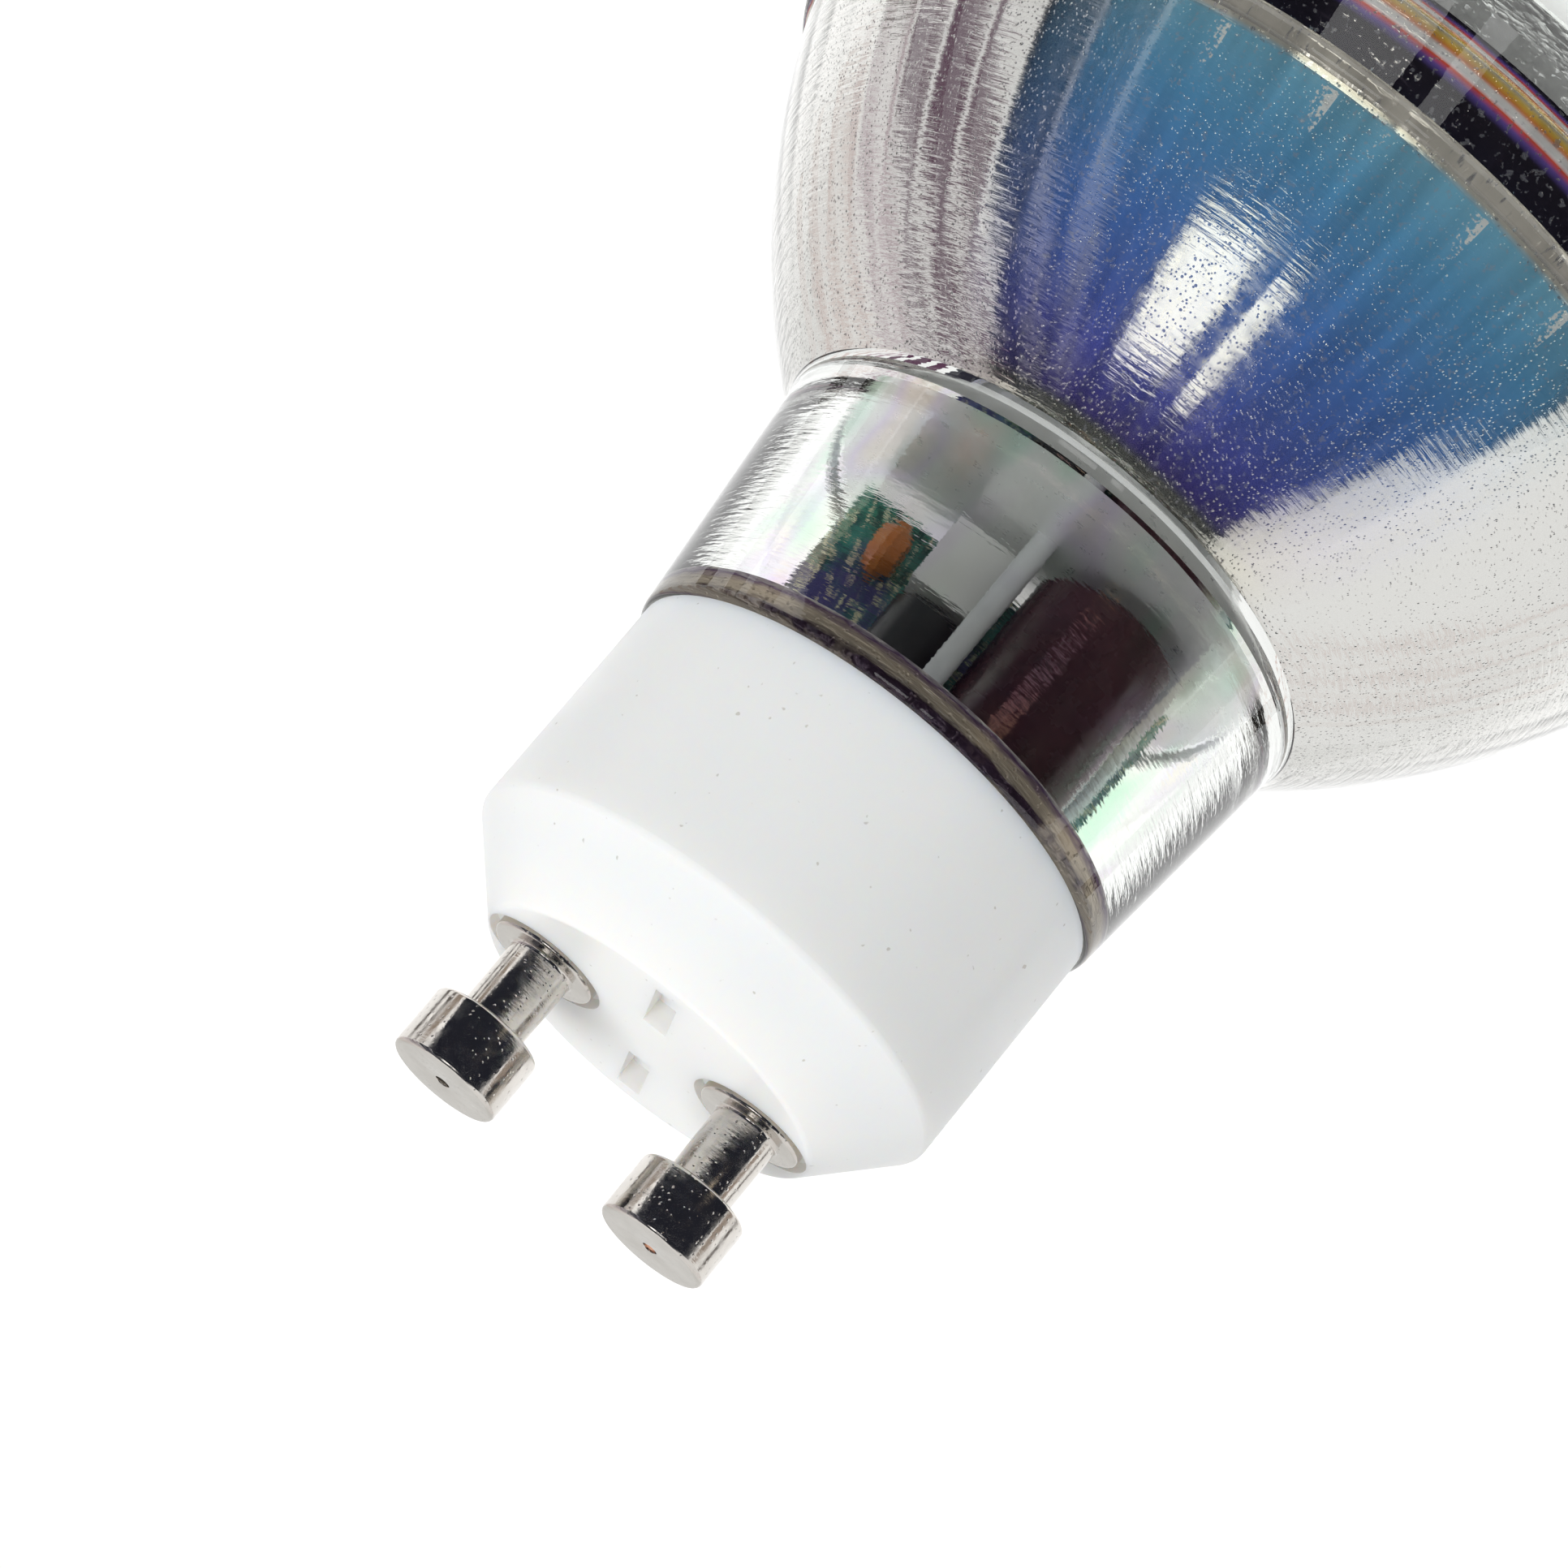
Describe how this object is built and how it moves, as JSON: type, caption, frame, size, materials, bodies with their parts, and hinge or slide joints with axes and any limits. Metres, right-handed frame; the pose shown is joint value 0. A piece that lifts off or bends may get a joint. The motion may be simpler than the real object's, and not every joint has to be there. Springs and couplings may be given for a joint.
{
  "type": "twist-lock spotlight bulb",
  "caption": "Reflector spotlight bulb with a fluted glass bowl, a clear neck that shows its driver, a white moulded base cap and two twist-lock contact pins.",
  "frame": {"origin": "centre of the front rim, in the plane that the lamp stands on", "axes": "+Z along the lamp's axis from the front rim to the contact pins, X through both pins"},
  "size_m": [0.05, 0.05, 0.053],
  "materials": {
    "reflector_glass": "clear pressed glass, mirror coated inside the fluted bowl",
    "cover_glass": "clear flat glass",
    "cap_plastic": "smooth white moulded plastic",
    "pin_nickel": "bright nickel plate with fine handling marks",
    "lead_copper": "bare copper wire",
    "board_laminate": "green solder mask over copper tracks",
    "wire_sleeve": "pale plastic wire sleeve",
    "capacitor_sleeve": "dark shrunk plastic sleeve",
    "choke_sleeve": "black shrunk plastic sleeve",
    "ceramic_dip": "orange dipped coat",
    "fuse_coat": "coated resistor body with tinned leads",
    "film_case": "pale moulded case",
    "chip_case": "black moulded case",
    "resistor_body": "dark ceramic chip with tinned ends",
    "led_board_metal": "bare aluminium back, white front",
    "emitter_case": "white case with a yellow phosphor window"
  },
  "bodies": {
    "root": {"glass_reflector": "reflector_glass", "front_cover": "cover_glass", "base_cap": "cap_plastic", "contact_pin_left": "pin_nickel", "contact_pin_right": "pin_nickel", "lead_wire_live": "lead_copper", "lead_wire_neutral": "lead_copper", "driver_board": "board_laminate", "led_wire_positive": "wire_sleeve", "led_wire_negative": "wire_sleeve", "smoothing_capacitor": "capacitor_sleeve", "choke": "choke_sleeve", "ceramic_capacitor": "ceramic_dip", "fuse_resistor": "fuse_coat", "film_capacitor": "film_case", "bridge_rectifier": "chip_case", "driver_chip": "chip_case", "chip_resistor_1": "resistor_body", "chip_resistor_2": "resistor_body", "chip_resistor_3": "resistor_body", "chip_resistor_4": "resistor_body", "led_board": "led_board_metal", "led_emitter_1": "emitter_case", "led_emitter_2": "emitter_case", "led_emitter_3": "emitter_case", "led_emitter_4": "emitter_case", "led_emitter_5": "emitter_case", "led_emitter_6": "emitter_case", "led_emitter_7": "emitter_case", "led_emitter_8": "emitter_case"}
  },
  "joints": []
}
